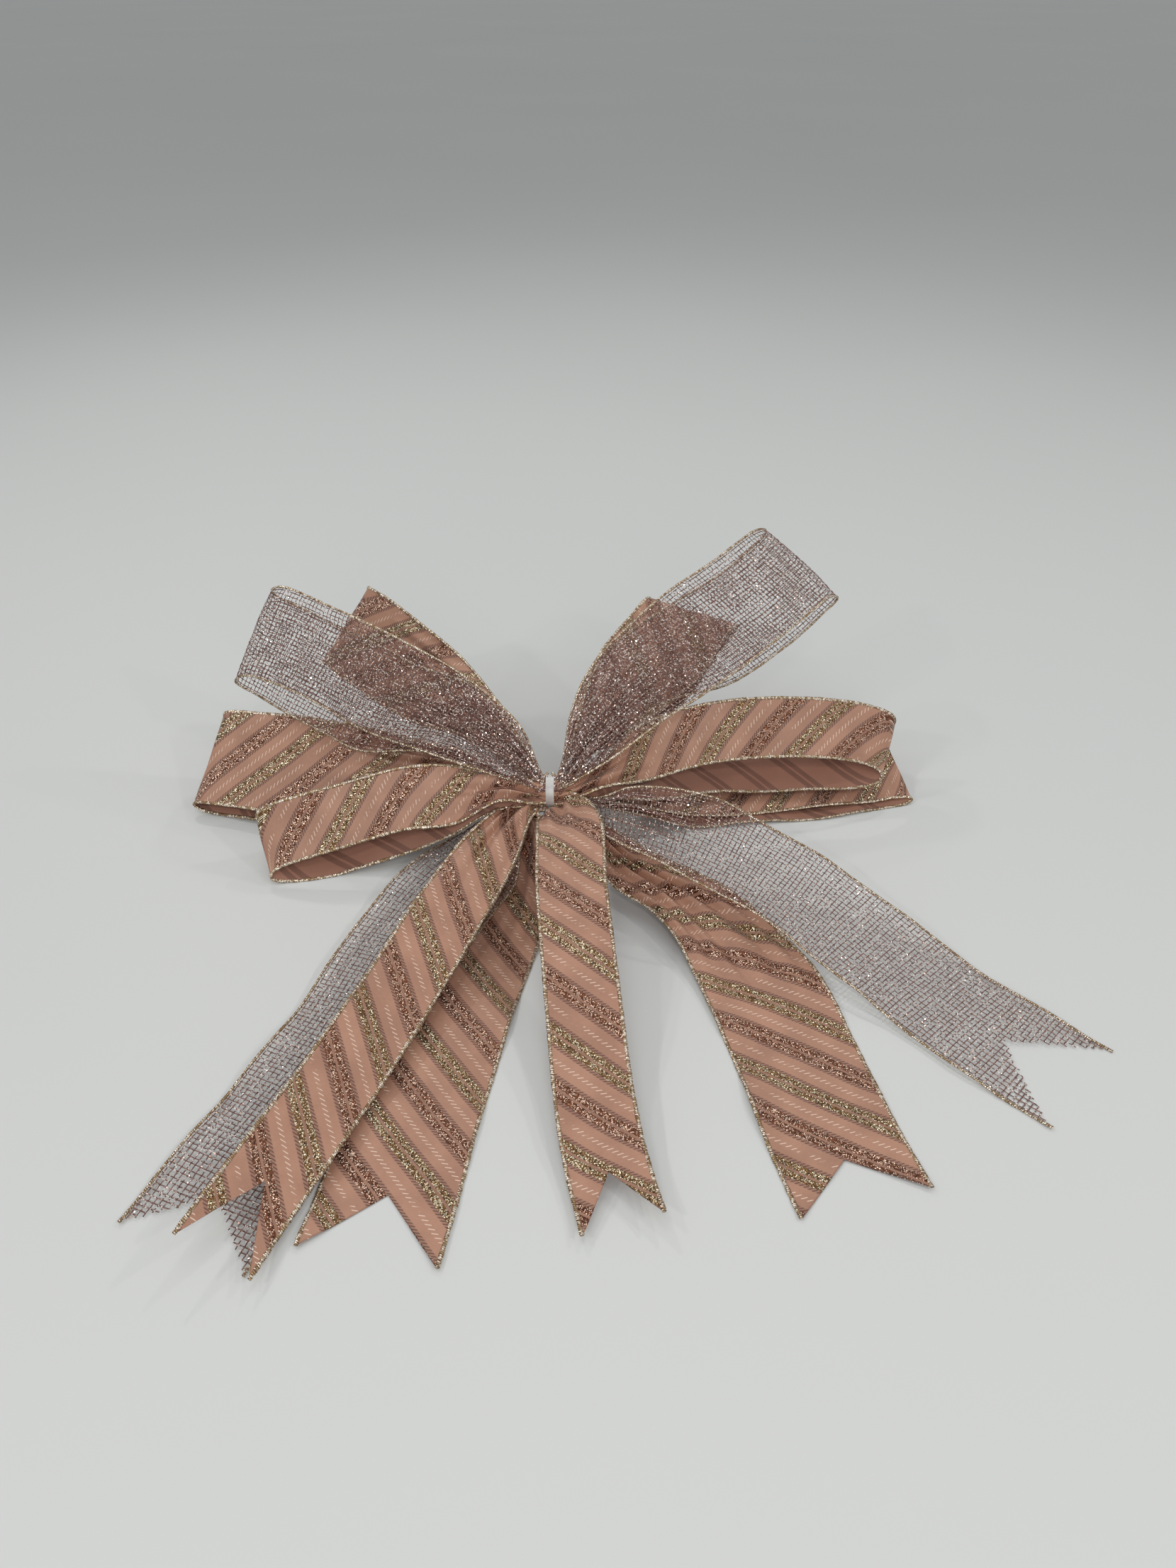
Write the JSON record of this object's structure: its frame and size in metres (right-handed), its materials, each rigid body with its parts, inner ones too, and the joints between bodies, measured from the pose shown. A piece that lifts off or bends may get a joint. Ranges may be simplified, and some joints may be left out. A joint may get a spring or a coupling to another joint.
{
  "type": "gift bow",
  "caption": "Pre-made gift bow of wired striped satin and mesh ribbon, its looped and dovetailed ends fanned out from a nylon cable tie.",
  "frame": {"origin": "centre of the flat underside of the cable tie's head, where the bow is glued or taped down", "axes": "+X along the bow from its left loops to its right loops, -Y towards the tails, +Z away from the gift"},
  "size_m": [0.5073, 0.4568, 0.1384],
  "materials": {
    "satin": "dusty rose satin with slanting gold and copper glitter stripes",
    "mesh": "open net of mauve metallic thread with silver glitter",
    "binding": "overlocked gold metallic thread",
    "wire": "fine soft craft wire",
    "nylon": "translucent natural nylon"
  },
  "bodies": {
    "pinch": {"cable_tie": "nylon", "pinched_wide_satin": "satin", "pinched_narrow_satin": "satin", "pinched_mesh": "mesh"},
    "left_front_loop_body": {"left_front_loop": "satin", "left_front_loop_bindings": "binding", "left_front_loop_wires": "wire"},
    "left_back_loop_body": {"left_back_loop": "satin", "left_back_loop_bindings": "binding", "left_back_loop_wires": "wire"},
    "left_upper_loop_body": {"left_upper_loop": "satin", "left_upper_loop_bindings": "binding", "left_upper_loop_wires": "wire"},
    "left_mesh_loop_body": {"left_mesh_loop": "mesh", "left_mesh_loop_bindings": "binding", "left_mesh_loop_wires": "wire"},
    "right_mesh_loop_body": {"right_mesh_loop": "mesh", "right_mesh_loop_bindings": "binding", "right_mesh_loop_wires": "wire"},
    "right_upper_loop_body": {"right_upper_loop": "satin", "right_upper_loop_bindings": "binding", "right_upper_loop_wires": "wire"},
    "right_front_loop_body": {"right_front_loop": "satin", "right_front_loop_bindings": "binding", "right_front_loop_wires": "wire"},
    "right_low_loop_body": {"right_low_loop": "satin", "right_low_loop_bindings": "binding", "right_low_loop_wires": "wire"},
    "left_mesh_tail_body": {"left_mesh_tail": "mesh", "left_mesh_tail_bindings": "binding", "left_mesh_tail_wires": "wire"},
    "left_tail_body": {"left_tail": "satin", "left_tail_bindings": "binding", "left_tail_wires": "wire"},
    "left_under_tail_body": {"left_under_tail": "satin", "left_under_tail_bindings": "binding", "left_under_tail_wires": "wire"},
    "centre_tail_body": {"centre_tail": "satin", "centre_tail_bindings": "binding", "centre_tail_wires": "wire"},
    "right_tail_body": {"right_tail": "satin", "right_tail_bindings": "binding", "right_tail_wires": "wire"},
    "right_mesh_tail_body": {"right_mesh_tail": "mesh", "right_mesh_tail_bindings": "binding", "right_mesh_tail_wires": "wire"}
  },
  "joints": [
    {"name": "left_front_loop_swing", "type": "hinge", "parent": "pinch", "child": "left_front_loop_body", "pos_m": [-0.0085, 0, 0.0148], "axis": [0, 0, 1], "range_deg": [-3, 2]},
    {"name": "left_back_loop_swing", "type": "hinge", "parent": "pinch", "child": "left_back_loop_body", "pos_m": [-0.0085, 0, 0.0148], "axis": [0, 0, 1], "range_deg": [-7, 3]},
    {"name": "left_upper_loop_swing", "type": "hinge", "parent": "pinch", "child": "left_upper_loop_body", "pos_m": [-0.0085, 0, 0.0148], "axis": [0, 0, 1], "range_deg": [-11, 7]},
    {"name": "left_mesh_loop_swing", "type": "hinge", "parent": "pinch", "child": "left_mesh_loop_body", "pos_m": [-0.0085, 0, 0.0148], "axis": [0, 0, 1], "range_deg": [-5, 4]},
    {"name": "right_mesh_loop_swing", "type": "hinge", "parent": "pinch", "child": "right_mesh_loop_body", "pos_m": [0.0085, 0, 0.0148], "axis": [0, 0, 1], "range_deg": [-4, 8]},
    {"name": "right_upper_loop_swing", "type": "hinge", "parent": "pinch", "child": "right_upper_loop_body", "pos_m": [0.0085, 0, 0.0148], "axis": [0, 0, 1], "range_deg": [-6, 9]},
    {"name": "right_front_loop_swing", "type": "hinge", "parent": "pinch", "child": "right_front_loop_body", "pos_m": [0.0085, 0, 0.0148], "axis": [0, 0, 1], "range_deg": [-11, 4]},
    {"name": "right_low_loop_swing", "type": "hinge", "parent": "pinch", "child": "right_low_loop_body", "pos_m": [0.0085, 0, 0.0148], "axis": [0, 0, 1], "range_deg": [-5, 11]},
    {"name": "left_mesh_tail_swing", "type": "hinge", "parent": "pinch", "child": "left_mesh_tail_body", "pos_m": [-0.0085, 0, 0.0148], "axis": [0, 0, 1], "range_deg": [-2, 11]},
    {"name": "left_tail_swing", "type": "hinge", "parent": "pinch", "child": "left_tail_body", "pos_m": [-0.0085, 0, 0.0148], "axis": [0, 0, 1], "range_deg": [-4, 11]},
    {"name": "left_under_tail_swing", "type": "hinge", "parent": "pinch", "child": "left_under_tail_body", "pos_m": [-0.0085, 0, 0.0148], "axis": [0, 0, 1], "range_deg": [-11, 11]},
    {"name": "centre_tail_swing", "type": "hinge", "parent": "pinch", "child": "centre_tail_body", "pos_m": [0.0085, 0, 0.0148], "axis": [0, 0, 1], "range_deg": [-11, 11]},
    {"name": "right_tail_swing", "type": "hinge", "parent": "pinch", "child": "right_tail_body", "pos_m": [0.0085, 0, 0.0148], "axis": [0, 0, 1], "range_deg": [-11, 9]},
    {"name": "right_mesh_tail_swing", "type": "hinge", "parent": "pinch", "child": "right_mesh_tail_body", "pos_m": [0.0085, 0, 0.0148], "axis": [0, 0, 1], "range_deg": [-9, 11]}
  ]
}
